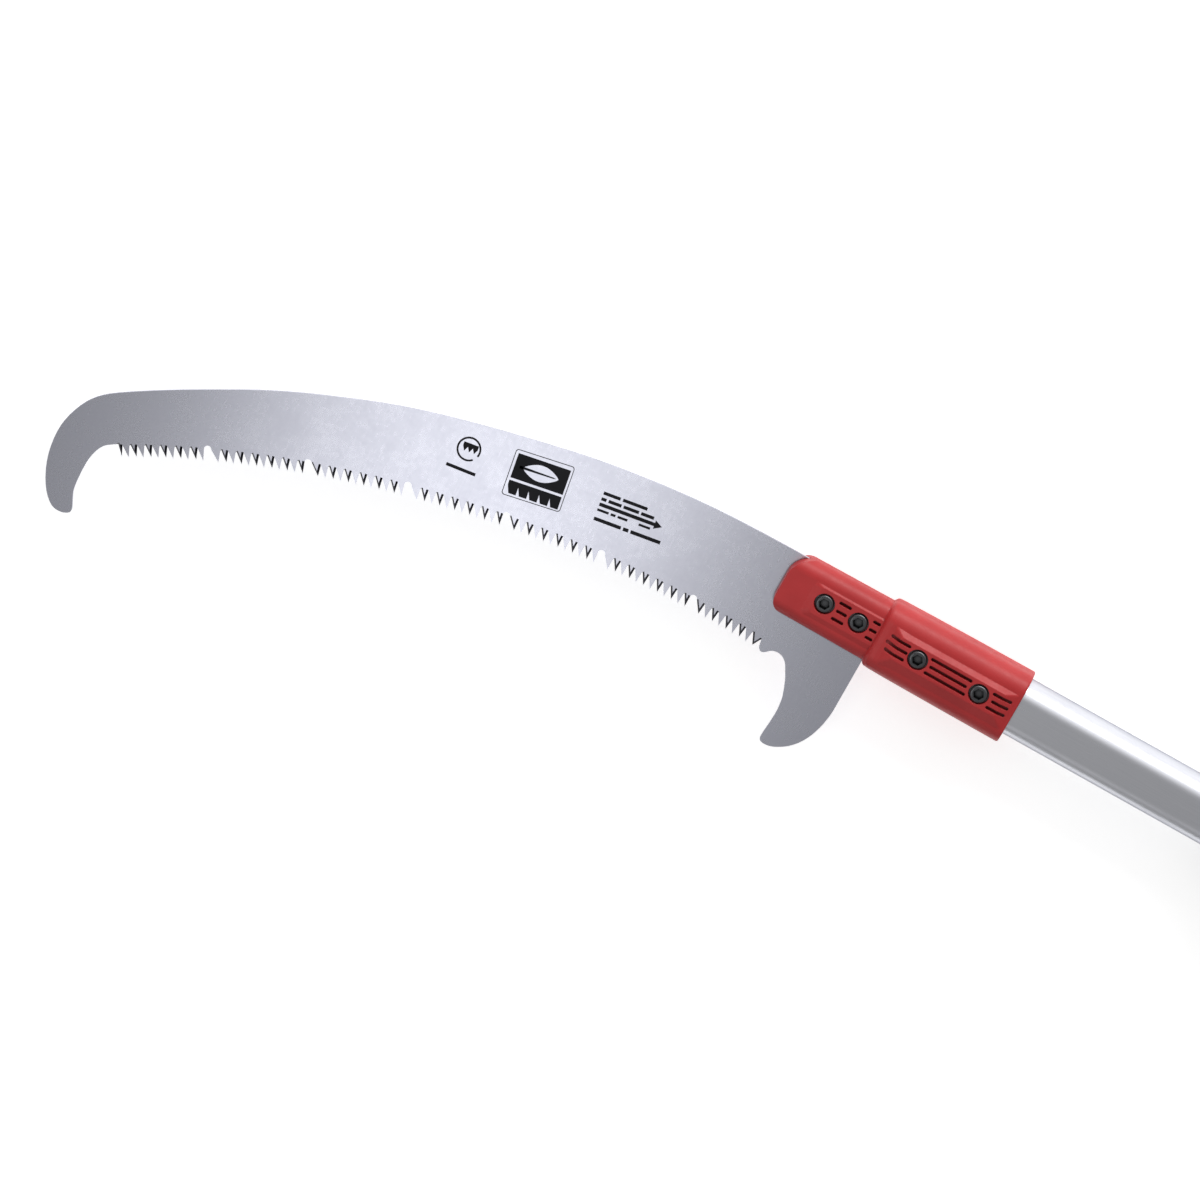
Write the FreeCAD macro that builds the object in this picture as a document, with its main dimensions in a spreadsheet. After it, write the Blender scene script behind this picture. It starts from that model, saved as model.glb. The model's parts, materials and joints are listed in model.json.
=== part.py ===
import FreeCAD, Part
import os, math
import Sketcher

# Telescoping pole saw, lying on its flat side.
# X runs along the pole (the saw head at -X, the butt cap at +X), Y points to the
# spine of the blade (the teeth look to -Y), Z is normal to the blade's plane.
# Every piece is drawn about the pole's axis, with X = 0 a little behind the head,
# and its Placement moves it into the part frame (origin under the middle of the
# bounding box, Z = 0 on the resting plane).

os.makedirs("parts", exist_ok=True)
doc = FreeCAD.newDocument("pole_saw")
V = FreeCAD.Vector

# ------------------------------------------------------------------ dimensions
DIMS = [
    # name, value, remark
    ("origin_x", -478.72, "pole frame to part frame"),
    ("origin_y", 76.41, "pole frame to part frame"),
    ("origin_z", 21.0, "resting plane to pole axis"),
    # pole sections: half height (Y), half thickness (Z) of the oval
    ("wall", 1.5, "tube wall"),
    ("inner_hh", 18.0, "inner section half height"),
    ("inner_ht", 12.5, "inner section half thickness"),
    ("tube_gap", 0.6, "play between two sections, each side"),
    ("middle_hh", 20.1, "middle section half height"),
    ("middle_ht", 14.6, "middle section half thickness"),
    ("outer_hh", 22.2, "outer section half height"),
    ("outer_ht", 16.7, "outer section half thickness"),
    ("inner_start", -128.0, "front end of inner section"),
    ("inner_len", 1471.0, "inner section length"),
    ("middle_start", 110.0, "front end of middle section"),
    ("middle_len", 1370.0, "middle section length"),
    ("outer_start", 206.0, "front end of outer section"),
    ("outer_len", 1354.0, "outer section length"),
    ("guide_play", 0.3, "running play of bushes and collars, each side"),
    ("bush_len", 25.0, "guide part of an end bush"),
    ("spigot_len", 30.0, "spigot of an end bush"),
    ("bush_hole", 8.0, "air hole in an end bush, radius"),
    ("fit_gap", 0.05, "gap between seated pieces"),
    # saw head
    ("head_front", -206.0, "front end of the head"),
    ("head_step", -144.5, "front of the step"),
    ("head_step_end", -143.0, "end of the step"),
    ("head_rear", -54.5, "rear end of the head"),
    ("nose_ht", 10.0, "half thickness of the blade holder"),
    ("nose_corner", 8.5, "corner radius of the blade holder"),
    ("neck_ht", 14.5, "half thickness of the tube socket"),
    ("neck_corner", 10.5, "corner radius of the tube socket"),
    ("nose_pad", 11.0, "height of the front boss"),
    ("neck_pad", 17.0, "height of the rear boss"),
    ("split_gap", 0.03, "half gap between the two shells"),
    ("blade_thk", 1.6, "blade thickness"),
    ("screw1_x", -178.4, "front blade screw"),
    ("screw2_x", -156.4, "rear blade screw"),
    ("screw3_x", -117.0, "front pole screw"),
    ("screw4_x", -77.3, "rear pole screw"),
    ("screw_rad", 3.0, "M6 shank radius"),
    ("screw_clear", 3.25, "clearance hole radius"),
    ("screw_head_rad", 5.25, "button head radius"),
    ("screw_head_ht", 3.0, "button head height"),
    ("socket_af", 5.8, "hexagon socket across flats"),
    ("cbore_rad", 6.1, "counterbore radius"),
    ("cbore_nose", 7.6, "floor of the front counterbores"),
    ("cbore_neck", 13.7, "floor of the rear counterbores"),
    ("washer_rad", 5.9, "washer radius"),
    ("washer_thk", 0.8, "washer thickness"),
    ("nut_af", 10.0, "nut across flats"),
    ("nut_ht", 4.0, "nut height"),
    ("nut_seat_nose", 7.0, "depth of the front nut seats"),
    ("nut_seat_neck", 13.7, "depth of the rear nut seats"),
    ("vent_width", 2.0, "grip groove width"),
    ("vent_nose_floor", 7.2, "grip groove floor, front"),
    ("vent_neck_floor", 13.45, "grip groove floor, rear"),
    ("sleeve_rad", 4.5, "crush sleeve radius"),
    # teeth
    ("tooth_depth", 7.0, "tooth height"),
    ("tooth_rake", 0.75, "lean of the cutting edge toward the handle at gullet depth"),
    ("gullet_flat", 0.3, "flat at the bottom of a gullet"),
    ("bevel", 1.2, "ground bevel width"),
    ("bevel_land", 0.15, "edge land left under the bevel"),
    ("grind_over", 0.6, "run-out of the tooth grinding past the root"),
    ("raker_rad", 2.1, "radius of a chip gap"),
    ("raker_shift", -2.2, "chip gap centre along the edge"),
    ("raker_depth", 7.1, "chip gap centre depth"),
    # lock collars
    ("upper_lock_x", 80.0, "front of the upper collar"),
    ("lower_lock_x", 176.0, "front of the lower collar"),
    ("lock_len", 72.0, "collar length"),
    ("lock_seat", 30.0, "collar front to the seat of the larger tube"),
    ("lock_wall", 4.5, "collar wall at its sides"),
    ("lock_ht", 21.0, "collar half thickness"),
    ("lock_corner", 14.0, "collar corner radius"),
    ("shoe_x", 15.0, "centre of clamp shoe from collar front"),
    ("shoe_len", 18.0, "clamp shoe length"),
    ("shoe_wid", 17.0, "clamp shoe width"),
    ("shoe_thk", 5.0, "clamp shoe thickness"),
    ("shoe_gap", 0.05, "gap under a locked shoe"),
    ("window_play", 0.3, "play of the shoe in its window"),
    ("cam_rad", 6.0, "cam radius"),
    ("cam_ecc", 0.7, "cam eccentricity"),
    ("cam_wid", 16.0, "cam width"),
    ("cam_gap", 0.06, "gap between cam and shoe"),
    ("ear_in", 8.4, "inner face of an ear"),
    ("ear_thk", 4.4, "ear thickness"),
    ("ear_rad", 5.8, "ear nose radius"),
    ("pin_rad", 2.5, "lever pin radius"),
    ("pin_play", 0.06, "running play on the pin, radial"),
    ("pin_press", 0.02, "gap of the pin in the ears, radial"),
    ("lever_len", 62.0, "lever length from the pin"),
    ("lever_thk", 4.8, "lever thickness"),
    ("lever_hw", 12.4, "lever half width"),
    ("rivet_rad", 1.75, "rivet shank radius"),
    ("rivet_head", 3.4, "rivet head radius"),
    ("rivet_x", 57.0, "rivet position from collar front"),
    # grip and cap
    ("grip_start", 1180.0, "front end of the hand grip"),
    ("grip_len", 320.0, "hand grip length"),
    ("grip_thk", 2.3, "hand grip wall"),
    ("cap_start", 1528.0, "front end of the butt cap"),
    ("cap_len", 38.0, "butt cap length"),
    ("cap_floor", 5.5, "butt cap end wall"),
    ("cap_hh", 26.4, "butt cap half height"),
    ("cap_ht", 21.0, "butt cap half thickness"),
]
dims = doc.addObject("Spreadsheet::Sheet", "dims")
for i, (name, value, remark) in enumerate(DIMS, start=1):
    dims.set("A%d" % i, name)
    dims.set("B%d" % i, repr(value))
    dims.set("C%d" % i, remark)
    dims.setAlias("B%d" % i, name)
doc.recompute()


def D(name):
    return float(getattr(dims, name))


NODES = []


def finish_node(obj, label):
    """Names a finished piece and moves it into the part frame."""
    obj.Label = label
    for ax in "xyz":
        obj.setExpression("Placement.Base." + ax, "dims.origin_" + ax)
    NODES.append(obj)
    return obj


# ------------------------------------------------------------------ sketch helpers
PLANES = {"XY": "XY_Plane", "XZ": "XZ_Plane", "YZ": "YZ_Plane"}


def new_body(name):
    return doc.addObject("PartDesign::Body", name)


def attach(body, sk, plane, offset=None):
    for f in body.Origin.OriginFeatures:
        if f.Role == PLANES[plane]:
            sk.AttachmentSupport = [(f, "")]
    sk.MapMode = "FlatFace"
    if offset is not None:
        sk.setExpression("AttachmentOffset.Base.z", offset)


def body_sketch(body, name, plane, offset=None):
    sk = body.newObject("Sketcher::SketchObject", name)
    attach(body, sk, plane, offset)
    return sk


def add_oval(sk, hh, ht, key, e_hh, e_ht):
    """An oval (two straight flats, two half rounds) about the sketch origin:
    half height hh along the sketch's x, half thickness ht along its y."""
    c = hh - ht
    g = sk.addGeometry([
        Part.LineSegment(V(-c, ht, 0), V(c, ht, 0)),
        Part.ArcOfCircle(Part.Circle(V(c, 0, 0), V(0, 0, 1), ht), -math.pi / 2, math.pi / 2),
        Part.LineSegment(V(c, -ht, 0), V(-c, -ht, 0)),
        Part.ArcOfCircle(Part.Circle(V(-c, 0, 0), V(0, 0, 1), ht), math.pi / 2, 3 * math.pi / 2)], False)
    a, b, d, e = g
    C = Sketcher.Constraint
    sk.addConstraint([
        C("Tangent", a, 2, b, 2), C("Tangent", d, 1, b, 1),
        C("Tangent", a, 1, e, 1), C("Tangent", d, 2, e, 2),
        C("Horizontal", a), C("Horizontal", d),
        C("Symmetric", b, 3, e, 3, -1, 1)])
    r = sk.addConstraint(C("Radius", b, ht))
    sk.renameConstraint(r, key + "_ht")
    w = sk.addConstraint(C("DistanceX", e, 3, b, 3, 2 * c))
    sk.renameConstraint(w, key + "_flat")
    sk.setExpression("Constraints." + key + "_ht", e_ht)
    sk.setExpression("Constraints." + key + "_flat", "2 * ((%s) - (%s))" % (e_hh, e_ht))


def add_circle(sk, x, y, rad, key, ex=None, ey=None, er=None):
    g = sk.addGeometry(Part.Circle(V(x, y, 0), V(0, 0, 1), rad), False)
    C = Sketcher.Constraint
    r = sk.addConstraint(C("Radius", g, rad))
    sk.renameConstraint(r, key + "_rad")
    if er:
        sk.setExpression("Constraints." + key + "_rad", er)
    if ex is None:
        sk.addConstraint(C("PointOnObject", g, 3, -2))
    else:
        a = sk.addConstraint(C("DistanceX", -1, 1, g, 3, x))
        sk.renameConstraint(a, key + "_px")
        sk.setExpression("Constraints." + key + "_px", ex)
    if ey is None:
        sk.addConstraint(C("PointOnObject", g, 3, -1))
    else:
        a = sk.addConstraint(C("DistanceY", -1, 1, g, 3, y))
        sk.renameConstraint(a, key + "_py")
        sk.setExpression("Constraints." + key + "_py", ey)


def add_wire(sk, edges):
    sk.addGeometry(edges, False)


def poly(points):
    pts = [V(p[0], p[1], 0) for p in points]
    return [Part.LineSegment(pts[i], pts[(i + 1) % len(pts)]) for i in range(len(pts))]


def rrect(x0, y0, x1, y1, radii):
    """Rounded rectangle; radii from the lower left corner, anticlockwise."""
    ra, rb, rc, rd = radii
    E = []
    E.append(Part.LineSegment(V(x0 + ra, y0, 0), V(x1 - rb, y0, 0)))
    E.append(Part.ArcOfCircle(Part.Circle(V(x1 - rb, y0 + rb, 0), V(0, 0, 1), rb), 1.5 * math.pi, 2 * math.pi))
    E.append(Part.LineSegment(V(x1, y0 + rb, 0), V(x1, y1 - rc, 0)))
    E.append(Part.ArcOfCircle(Part.Circle(V(x1 - rc, y1 - rc, 0), V(0, 0, 1), rc), 0, 0.5 * math.pi))
    E.append(Part.LineSegment(V(x1 - rc, y1, 0), V(x0 + rd, y1, 0)))
    E.append(Part.ArcOfCircle(Part.Circle(V(x0 + rd, y1 - rd, 0), V(0, 0, 1), rd), 0.5 * math.pi, math.pi))
    E.append(Part.LineSegment(V(x0, y1 - rd, 0), V(x0, y0 + ra, 0)))
    E.append(Part.ArcOfCircle(Part.Circle(V(x0 + ra, y0 + ra, 0), V(0, 0, 1), ra), math.pi, 1.5 * math.pi))
    return E


def slot_wire(x0, x1, y, w):
    """A straight groove outline with round ends."""
    r = w / 2.0
    return [
        Part.LineSegment(V(x0 + r, y - r, 0), V(x1 - r, y - r, 0)),
        Part.ArcOfCircle(Part.Circle(V(x1 - r, y, 0), V(0, 0, 1), r), -math.pi / 2, math.pi / 2),
        Part.LineSegment(V(x1 - r, y + r, 0), V(x0 + r, y + r, 0)),
        Part.ArcOfCircle(Part.Circle(V(x0 + r, y, 0), V(0, 0, 1), r), math.pi / 2, 1.5 * math.pi)]


def pad(body, sk, name, length, midplane=False, reverse=False):
    p = body.newObject("PartDesign::Pad", name)
    p.Profile = sk
    p.setExpression("Length", length)
    p.Midplane = midplane
    p.Reversed = reverse
    sk.Visibility = False
    return p


def pocket_through(body, sk, name, depth="200"):
    """A pocket on both sides of its sketch plane."""
    p = body.newObject("PartDesign::Pocket", name)
    p.Profile = sk
    p.setExpression("Length", depth)
    p.Midplane = True
    sk.Visibility = False
    return p


def free_sketch(name, edges, plane="XY", at=0.0, at_expr=None):
    """A sketch outside any body. plane XY: sketch x, y are X, Y and the plane
    lies at Z = at. plane YZ: sketch x, y are Y, Z and the plane lies at X = at.
    plane XZ: sketch x, y are X, Z and the plane lies at Y = at."""
    sk = doc.addObject("Sketcher::SketchObject", name)
    sk.addGeometry(edges, False)
    if plane == "XY":
        rot, base, ax = FreeCAD.Rotation(), V(0, 0, at), "z"
    elif plane == "YZ":
        rot, base, ax = FreeCAD.Rotation(V(0, 1, 0), V(0, 0, 1), V(1, 0, 0), "ZXY"), V(at, 0, 0), "x"
    else:
        rot, base, ax = FreeCAD.Rotation(V(1, 0, 0), V(0, 0, 1), V(0, -1, 0), "ZXY"), V(0, at, 0), "y"
    sk.Placement = FreeCAD.Placement(base, rot)
    if at_expr:
        sk.setExpression("Placement.Base." + ax, at_expr)
    sk.Visibility = False
    return sk


def extrude(name, sk, direction, fwd, rev="0"):
    e = doc.addObject("Part::Extrusion", name)
    e.Base = sk
    e.DirMode = "Custom"
    e.Dir = direction
    e.Solid = True
    e.setExpression("LengthFwd", fwd)
    e.setExpression("LengthRev", rev)
    return e


def loft(name, a, b):
    l = doc.addObject("Part::Loft", name)
    l.Sections = [a, b]
    l.Solid = True
    l.Ruled = True
    return l


def fuse(name, objs):
    f = doc.addObject("Part::MultiFuse", name)
    f.Shapes = objs
    f.Refine = True
    return f


def cut(name, base, tool):
    c = doc.addObject("Part::Cut", name)
    c.Base = base
    c.Tool = tool
    return c


def common(name, a, b):
    c = doc.addObject("Part::Common", name)
    c.Base = a
    c.Tool = b
    return c


def mirror_z(name, obj):
    m = doc.addObject("Part::Mirroring", name)
    m.Source = obj
    m.Base = V(0, 0, 0)
    m.Normal = V(0, 0, 1)
    return m


def compound(name, objs):
    c = doc.addObject("Part::Compound", name)
    c.Links = objs
    return c


def box(name, x, y, z, lx, ly, lz):
    """A box; each argument is an expression."""
    b = doc.addObject("Part::Box", name)
    for prop, ex in (("Length", lx), ("Width", ly), ("Height", lz),
                     ("Placement.Base.x", x), ("Placement.Base.y", y), ("Placement.Base.z", z)):
        b.setExpression(prop, ex)
    return b


def cylinder(name, rad, height, x, y, z, along="z"):
    """A cylinder starting at x, y, z and running along +Z or along +Y."""
    c = doc.addObject("Part::Cylinder", name)
    c.setExpression("Radius", rad)
    c.setExpression("Height", height)
    if along == "y":
        c.Placement = FreeCAD.Placement(V(0, 0, 0), FreeCAD.Rotation(V(1, 0, 0), -90))
    for ax, ex in (("x", x), ("y", y), ("z", z)):
        c.setExpression("Placement.Base." + ax, ex)
    return c


def hexagon(af, x=0.0, y=0.0, phase=0.0):
    r = af / math.sqrt(3.0)
    return poly([(x + r * math.cos(math.radians(60 * i + phase)),
                  y + r * math.sin(math.radians(60 * i + phase))) for i in range(6)])


# ------------------------------------------------------------------ blade outline
# tooth tips along the cutting edge: (tooth number, x, y)
TIPS = [(0, -569.5, -132.59), (2, -561.8, -128.07), (4, -553.8, -124.70), (6, -546.2, -120.18),
        (8, -538.8, -115.87), (10, -530.7, -112.30), (14, -515.0, -104.83), (18, -499.1, -97.89),
        (22, -482.3, -91.27), (24, -474.6, -88.11), (28, -456.9, -82.12), (32, -439.8, -76.75),
        (36, -422.1, -71.60), (40, -405.2, -67.08), (44, -387.5, -62.98), (48, -370.5, -58.98),
        (52, -352.8, -55.93), (56, -335.2, -53.20), (60, -317.5, -50.89), (66, -291.0, -48.15),
        (70, -273.5, -46.58), (74, -255.5, -45.73), (76, -246.9, -45.63), (80, -228.7, -45.52),
        (84, -211.0, -45.73), (86, -202.8, -45.84)]
CHIP_GAPS = (12, 25, 38, 51, 64, 77)
LAST = 86


def polyfit(xs, ys, deg):
    n = deg + 1
    A = [[sum(x ** (i + j) for x in xs) for j in range(n)] for i in range(n)]
    B = [sum(y * x ** i for x, y in zip(xs, ys)) for i in range(n)]
    for i in range(n):
        p = max(range(i, n), key=lambda r: abs(A[r][i]))
        A[i], A[p], B[i], B[p] = A[p], A[i], B[p], B[i]
        for r in range(i + 1, n):
            f = A[r][i] / A[i][i]
            for c in range(i, n):
                A[r][c] -= f * A[i][c]
            B[r] -= f * B[i]
    out = [0.0] * n
    for i in range(n - 1, -1, -1):
        out[i] = (B[i] - sum(A[i][c] * out[c] for c in range(i + 1, n))) / A[i][i]
    return out


def curve_at(c, x):
    return sum(k * x ** i for i, k in enumerate(c))


UX = polyfit([(n - 43) / 43.0 for n, x, y in TIPS], [x for n, x, y in TIPS], 4)
UY = polyfit([(n - 43) / 43.0 for n, x, y in TIPS], [y for n, x, y in TIPS], 4)


def tip(n):
    w = (n - 43) / 43.0
    return V(curve_at(UX, w), curve_at(UY, w), 0)


def frame_at(n):
    """Unit vectors at tooth n: along the edge toward the handle, and outward."""
    e = tip(n + 0.5) - tip(n - 0.5)
    e.normalize()
    return e, V(e.y, -e.x, 0)


SPINE = [(-206.0, 16.10), (-222.0, 15.94), (-240.0, 15.47), (-260.0, 14.47), (-280.0, 12.73),
         (-300.0, 10.30), (-320.0, 7.33), (-340.0, 3.64), (-360.0, -0.83), (-380.0, -5.57),
         (-400.0, -10.68), (-420.0, -16.31), (-440.0, -22.66), (-460.0, -30.20), (-480.0, -38.59),
         (-500.0, -47.62), (-520.0, -57.83), (-540.0, -69.29), (-560.0, -81.18), (-574.1, -90.12),
         (-584.4, -96.95), (-591.1, -101.79), (-597.2, -107.26), (-602.1, -113.99), (-605.5, -121.66),
         (-607.8, -129.76), (-608.5, -138.17), (-607.9, -146.58), (-606.2, -154.89), (-603.3, -162.78),
         (-599.4, -170.14), (-594.1, -176.45), (-590.7, -178.76), (-586.8, -179.50), (-582.9, -178.76),
         (-580.2, -176.87)]
HOOK_IN = [(-580.2, -176.87), (-579.9, -175.81), (-580.9, -172.13), (-582.7, -168.24), (-584.2, -164.35),
           (-584.9, -160.15), (-585.2, -155.94), (-585.4, -151.74), (-585.4, -147.53), (-585.1, -143.22),
           (-584.3, -139.12), (-582.9, -134.91), (-580.7, -131.44), (-577.7, -128.92), (-574.6, -126.81)]
LOBE = [(-199.4, -40.17), (-198.9, -43.11), (-197.9, -45.43), (-196.2, -46.37), (-194.4, -45.74),
        (-191.9, -43.43), (-188.6, -42.06), (-185.2, -42.38), (-182.4, -44.06), (-180.3, -46.58),
        (-178.9, -49.21), (-176.9, -52.89), (-175.3, -56.68), (-173.9, -60.57), (-172.7, -64.67),
        (-172.1, -68.77), (-171.8, -72.98), (-171.9, -77.08), (-172.1, -81.28), (-172.5, -85.49),
        (-172.7, -89.38), (-172.6, -91.48), (-171.6, -93.06), (-169.8, -93.69), (-167.5, -93.69),
        (-163.6, -92.64), (-160.1, -90.75), (-156.8, -88.43), (-153.9, -85.59), (-151.3, -82.33),
        (-149.2, -78.76), (-147.5, -74.97), (-146.2, -70.98), (-145.1, -66.88), (-144.4, -62.78),
        (-143.9, -58.68), (-143.75, -52.58), (-143.75, -42.06), (-143.75, -23.13), (-143.75, -19.98)]


def smooth_curve(stations):
    bs = Part.BSplineCurve()
    bs.interpolate([V(x, y, 0) for x, y in stations])
    return bs


def tooth_points(n):
    """Root before the tooth, tip, and root after it."""
    e, o = frame_at(n)
    dep, rake, flat = D("tooth_depth"), D("tooth_rake"), D("gullet_flat")
    p = tip(n)
    q = tip(n - 1)
    e0, o0 = frame_at(n - 1)
    before = q + e0 * (rake + flat) - o0 * dep
    after = p + e * rake - o * dep
    return before, p, after


edge_geom = []
grind = []  # (edge start, edge end, side of the tooth, which flank)
last_point = V(HOOK_IN[-1][0], HOOK_IN[-1][1], 0)


def line_to(p):
    global last_point
    if (p - last_point).Length > 1e-6:
        edge_geom.append(Part.LineSegment(last_point, p))
        last_point = p


for n in range(0, LAST + 1):
    e, o = frame_at(n)
    if n in CHIP_GAPS:
        # one tooth is missing here and a round-topped chip gap takes its place
        c = tip(n) + e * D("raker_shift") - o * D("raker_depth")
        rad = D("raker_rad")
        a0 = c - e * rad
        a1 = c - o * rad
        a2 = c + e * rad
        line_to(a0)
        edge_geom.append(Part.Arc(a0, a1, a2))
        last_point = a2
        continue
    before, p, after = tooth_points(n)
    if n == 0:
        # the first tooth rises straight out of the hook's throat
        before = V(HOOK_IN[-1][0], HOOK_IN[-1][1], 0)
    if n - 1 not in CHIP_GAPS:
        line_to(before)
        start = before
    else:
        start = last_point
    line_to(p)
    end = after
    if n + 1 in CHIP_GAPS:
        e1, o1 = frame_at(n + 1)
        end = tip(n + 1) + e1 * (D("raker_shift") - D("raker_rad")) - o1 * D("raker_depth")
    if n == LAST:
        end = V(LOBE[0][0], LOBE[0][1], 0)
    line_to(end)
    side = 1 if n % 2 == 0 else -1
    grind.append((start, p, side, "rise"))
    grind.append((p, end, side, "fall"))
line_to(V(LOBE[0][0], LOBE[0][1], 0))

TANG_REAR = -143.75
tang = [V(TANG_REAR, LOBE[-1][1], 0), V(TANG_REAR, 12.0, 0), V(-147.0, 15.6, 0), V(SPINE[0][0], SPINE[0][1], 0)]
outline = [smooth_curve(SPINE), smooth_curve(HOOK_IN)] + edge_geom + [smooth_curve(LOBE)]
outline += [Part.LineSegment(tang[i], tang[i + 1]) for i in range(3)]

blade_body = new_body("blade_blank")
sk = body_sketch(blade_body, "blade_outline", "XY")
add_wire(sk, outline)
for i, nm in ((1, "screw1"), (2, "screw2")):
    sk_x = D(nm + "_x")
    g = sk.addGeometry(Part.Circle(V(sk_x, 0, 0), V(0, 0, 1), D("screw_clear")), False)
pad(blade_body, sk, "blade_plate", "dims.blade_thk", midplane=True)

# the bevels ground on both flanks of each tooth, alternate teeth from alternate sides
wedges = []
half = D("blade_thk") / 2.0
bw, land = D("bevel"), D("bevel_land")
for a, b, side, flank in grind:
    d = b - a
    L = d.Length
    d.normalize()
    inward = V(-d.y, d.x, 0)            # the blade lies on the left of its edge
    k = (2 * half - land) / bw          # rise of the bevel per mm inward
    out = 0.06
    pts2 = [(-out, -half + land - k * out), (bw + 0.2, half + 0.2 * k), (-out, half + 0.2 * k)]
    # the wheel runs out a little past the root into the plate
    over = (D("grind_over"), 0.02) if flank == "rise" else (0.02, D("grind_over"))
    base = a - d * over[0]
    P = [base + inward * w + V(0, 0, z * side) for w, z in pts2]
    wire = Part.makePolygon(P + [P[0]])
    wedges.append(Part.Face(wire).extrude(d * (L + sum(over))))
grinding = doc.addObject("Part::Feature", "tooth_grinding")
grinding.Shape = Part.makeCompound(wedges)
blade = cut("blade_cut", blade_body, grinding)
finish_node(blade, "blade")

# ------------------------------------------------------------------ head form
# two lofts make the blade holder (front) and the tube socket (rear)


def section(name, y0, y1, ht, r, x_expr, x):
    return free_sketch(name, rrect(y0, -ht, y1, ht, (r, r, r, r)), "YZ", x, x_expr)


nh, nc = D("nose_ht"), D("nose_corner")
kh, kc = D("neck_ht"), D("neck_corner")
# stations along the head: x, lower y, upper y, half thickness, corner radius; the
# ends draw in a little, which rounds the front and rear rims
STATIONS = [
    ("dims.head_front", D("head_front"), -19.3, 17.2, nh - 0.7, 7.8),
    ("dims.head_front + 0.5", D("head_front") + 0.5, -19.7, 17.6, nh - 0.2, 8.3),
    ("dims.head_front + 1.4", D("head_front") + 1.4, -19.8, 17.7, nh, nc),
    ("dims.head_step", D("head_step"), -20.3, 18.3, nh, nc),
    ("dims.head_step_end", D("head_step_end"), -21.8, 19.8, nh + 2.6, nc + 1.0),
    ("dims.head_step_end + 1", D("head_step_end") + 1.0, -22.2, 20.1, nh + 3.5, nc + 1.4),
    ("dims.head_step_end + 4", D("head_step_end") + 4.0, -22.4, 20.2, nh + 4.1, nc + 1.7),
    ("dims.head_step_end + 16", D("head_step_end") + 16.0, -22.6, 20.4, kh, kc),
    ("dims.head_step_end + 46", D("head_step_end") + 46.0, -22.8, 20.8, kh, kc),
    ("dims.head_rear - 1.2", D("head_rear") - 1.2, -22.9, 21.1, kh, kc),
    ("dims.head_rear - 0.4", D("head_rear") - 0.4, -22.7, 20.9, kh - 0.25, kc - 0.2),
    ("dims.head_rear", D("head_rear"), -22.3, 20.5, kh - 0.7, kc - 0.6),
]
form_parts = []
for i in range(len(STATIONS) - 1):
    ends = []
    for j, tag in ((i, "a"), (i + 1, "b")):
        ex, x, y0, y1, ht, r = STATIONS[j]
        ends.append(section("head_section%d%s" % (i, tag), y0, y1, ht, r, ex, x))
    form_parts.append(loft("head_length%d" % i, ends[0], ends[1]))


def boss(name, low, high, z_low, z_high):
    """A raised pad with sloping flanks on the +Z flat: outlines low and high at two heights."""
    a = free_sketch(name + "_foot", rrect(*low), "XY", z_low)
    b = free_sketch(name + "_top", rrect(*high), "XY", z_high, "dims." + ("nose_pad" if "nose" in name else "neck_pad"))
    return loft(name, a, b)


nose_boss = boss("nose_boss", (-196.0, -17.0, -140.6, 11.2, (4.5, 4.5, 4.5, 4.5)),
                 (-184.4, -8.4, -143.4, 8.4, (2.0, 2.0, 2.0, 2.0)), 8.3, D("nose_pad"))
neck_boss = boss("neck_boss", (-141.5, -19.0, -49.0, 13.2, (2.0, 2.0, 2.0, 2.0)),
                 (-130.5, -7.4, -63.6, 7.4, (1.2, 1.2, 1.2, 1.2)), 12.0, D("neck_pad"))
bosses_up = fuse("bosses_up", [nose_boss, neck_boss])
bosses_down = mirror_z("bosses_down", bosses_up)
form = fuse("head_solid", form_parts + [bosses_up, bosses_down])

# rounded corners in plan: the head's outline trims the form, and the front wall leans
# back a little away from the split, which is its draft in the mould
PLAN_TOP = 25.0


def plan(name, z, lean):
    f = D("head_front") + lean
    return free_sketch(name, [
        Part.LineSegment(V(f + 9.8, -30, 0), V(-54.5, -30, 0)),
        Part.LineSegment(V(-54.5, -30, 0), V(-54.5, 30, 0)),
        Part.LineSegment(V(-54.5, 30, 0), V(f + 14.2, 30, 0)),
        Part.LineSegment(V(f + 14.2, 30, 0), V(f + 14.2, 17.9, 0)),
        Part.Arc(V(f + 14.2, 17.9, 0), V(f + 4.16, 13.74, 0), V(f, 3.7, 0)),
        Part.LineSegment(V(f, 3.7, 0), V(f, -10.2, 0)),
        Part.Arc(V(f, -10.2, 0), V(f + 2.87, -17.13, 0), V(f + 9.8, -20.0, 0)),
        Part.LineSegment(V(f + 9.8, -20.0, 0), V(f + 9.8, -30, 0))], "XY", z)


trim_up = loft("head_plan_up", plan("head_plan_split", 0.0, 0.0), plan("head_plan_top", PLAN_TOP, PLAN_TOP * 0.085))
trim = fuse("head_plan_prism", [trim_up, mirror_z("head_plan_down", trim_up)])
head_outer = common("head_outer", form, trim)

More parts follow.
